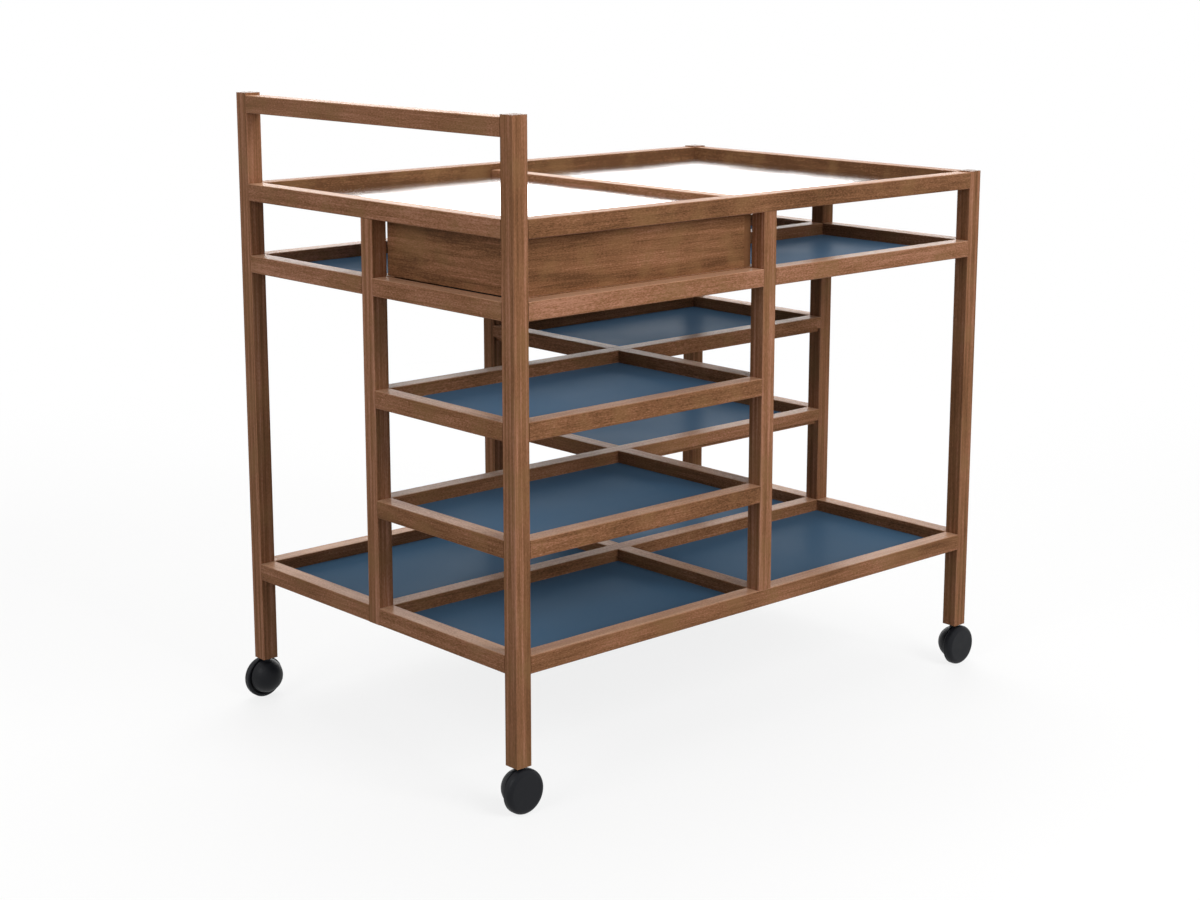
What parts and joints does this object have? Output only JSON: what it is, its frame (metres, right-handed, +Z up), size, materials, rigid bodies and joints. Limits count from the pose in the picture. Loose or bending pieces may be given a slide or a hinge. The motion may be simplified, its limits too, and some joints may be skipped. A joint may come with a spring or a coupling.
{
  "type": "cheese trolley",
  "caption": "Walnut serving trolley on ball casters, with blue shelves in opposite corners, open bays, an upper tray and drawer, white top panels and a raised push rail.",
  "frame": {"origin": "on the floor under the middle of the frame", "axes": "+X along the trolley away from the push rail, +Y across it away from the drawer's side, +Z up"},
  "size_m": [0.936, 0.6108, 0.885],
  "materials": {
    "walnut": "oiled, satin",
    "white_laminate": "white laminate on board, matt",
    "blue_laminate": "blue laminate on board, matt",
    "black_nylon": "moulded, satin",
    "steel": "zinc plated"
  },
  "bodies": {
    "frame": {"handle_post_near": "walnut", "handle_post_far": "walnut", "end_post_near": "walnut", "end_post_far": "walnut", "handle_side_post": "walnut", "end_side_post": "walnut", "near_side_post": "walnut", "far_side_post": "walnut", "push_rail": "walnut", "top_rail_near": "walnut", "top_rail_far": "walnut", "top_rail_handle": "walnut", "top_rail_end": "walnut", "top_divider": "walnut", "tray_centre_rail": "walnut", "tray_cross_rail": "walnut", "upper_shelf_centre_rail": "walnut", "upper_shelf_cross_rail": "walnut", "lower_shelf_centre_rail": "walnut", "lower_shelf_cross_rail": "walnut", "bottom_centre_rail": "walnut", "bottom_cross_rail": "walnut", "tray_side_rails": "walnut", "tray_end_rails": "walnut", "shelf_side_rails": "walnut", "shelf_end_rails": "walnut", "bottom_side_rails": "walnut", "bottom_end_rails": "walnut", "drawer_runners": "walnut", "drawer_kickers": "walnut", "drawer_stops": "walnut", "top_panel_handle": "white_laminate", "top_panel_end": "white_laminate", "tray_panels": "blue_laminate", "shelf_panels": "blue_laminate", "bottom_panels": "blue_laminate", "caster_sockets": "steel"},
    "drawer": {"drawer_front": "walnut", "drawer_back": "walnut", "drawer_sides": "walnut", "drawer_bottom": "walnut"},
    "swivel_near_handle": {"caster_hood_near_handle": "black_nylon", "caster_stem_near_handle": "steel", "caster_axle_near_handle": "steel"},
    "wheel_near_handle": {"caster_wheel_near_handle": "black_nylon"},
    "swivel_far_handle": {"caster_hood_far_handle": "black_nylon", "caster_stem_far_handle": "steel", "caster_axle_far_handle": "steel"},
    "wheel_far_handle": {"caster_wheel_far_handle": "black_nylon"},
    "swivel_near_end": {"caster_hood_near_end": "black_nylon", "caster_stem_near_end": "steel", "caster_axle_near_end": "steel"},
    "wheel_near_end": {"caster_wheel_near_end": "black_nylon"},
    "swivel_far_end": {"caster_hood_far_end": "black_nylon", "caster_stem_far_end": "steel", "caster_axle_far_end": "steel"},
    "wheel_far_end": {"caster_wheel_far_end": "black_nylon"}
  },
  "joints": [
    {"name": "drawer_slide", "type": "slide", "parent": "frame", "child": "drawer", "axis": [-1, 0, 0], "range_m": [0, 0.3]},
    {"name": "caster_swivel_near_handle", "type": "hinge", "parent": "frame", "child": "swivel_near_handle", "pos_m": [-0.438, -0.288, 0.062], "axis": [0, 0, 1], "continuous": true},
    {"name": "wheel_spin_near_handle", "type": "hinge", "parent": "swivel_near_handle", "child": "wheel_near_handle", "pos_m": [-0.438, -0.2989, 0.03], "axis": [0, 1, 0], "continuous": true},
    {"name": "caster_swivel_far_handle", "type": "hinge", "parent": "frame", "child": "swivel_far_handle", "pos_m": [-0.438, 0.288, 0.062], "axis": [0, 0, 1], "continuous": true},
    {"name": "wheel_spin_far_handle", "type": "hinge", "parent": "swivel_far_handle", "child": "wheel_far_handle", "pos_m": [-0.438, 0.2989, 0.03], "axis": [0, 1, 0], "continuous": true},
    {"name": "caster_swivel_near_end", "type": "hinge", "parent": "frame", "child": "swivel_near_end", "pos_m": [0.438, -0.288, 0.062], "axis": [0, 0, 1], "continuous": true},
    {"name": "wheel_spin_near_end", "type": "hinge", "parent": "swivel_near_end", "child": "wheel_near_end", "pos_m": [0.438, -0.2989, 0.03], "axis": [0, 1, 0], "continuous": true},
    {"name": "caster_swivel_far_end", "type": "hinge", "parent": "frame", "child": "swivel_far_end", "pos_m": [0.438, 0.288, 0.062], "axis": [0, 0, 1], "continuous": true},
    {"name": "wheel_spin_far_end", "type": "hinge", "parent": "swivel_far_end", "child": "wheel_far_end", "pos_m": [0.438, 0.2989, 0.03], "axis": [0, 1, 0], "continuous": true}
  ]
}
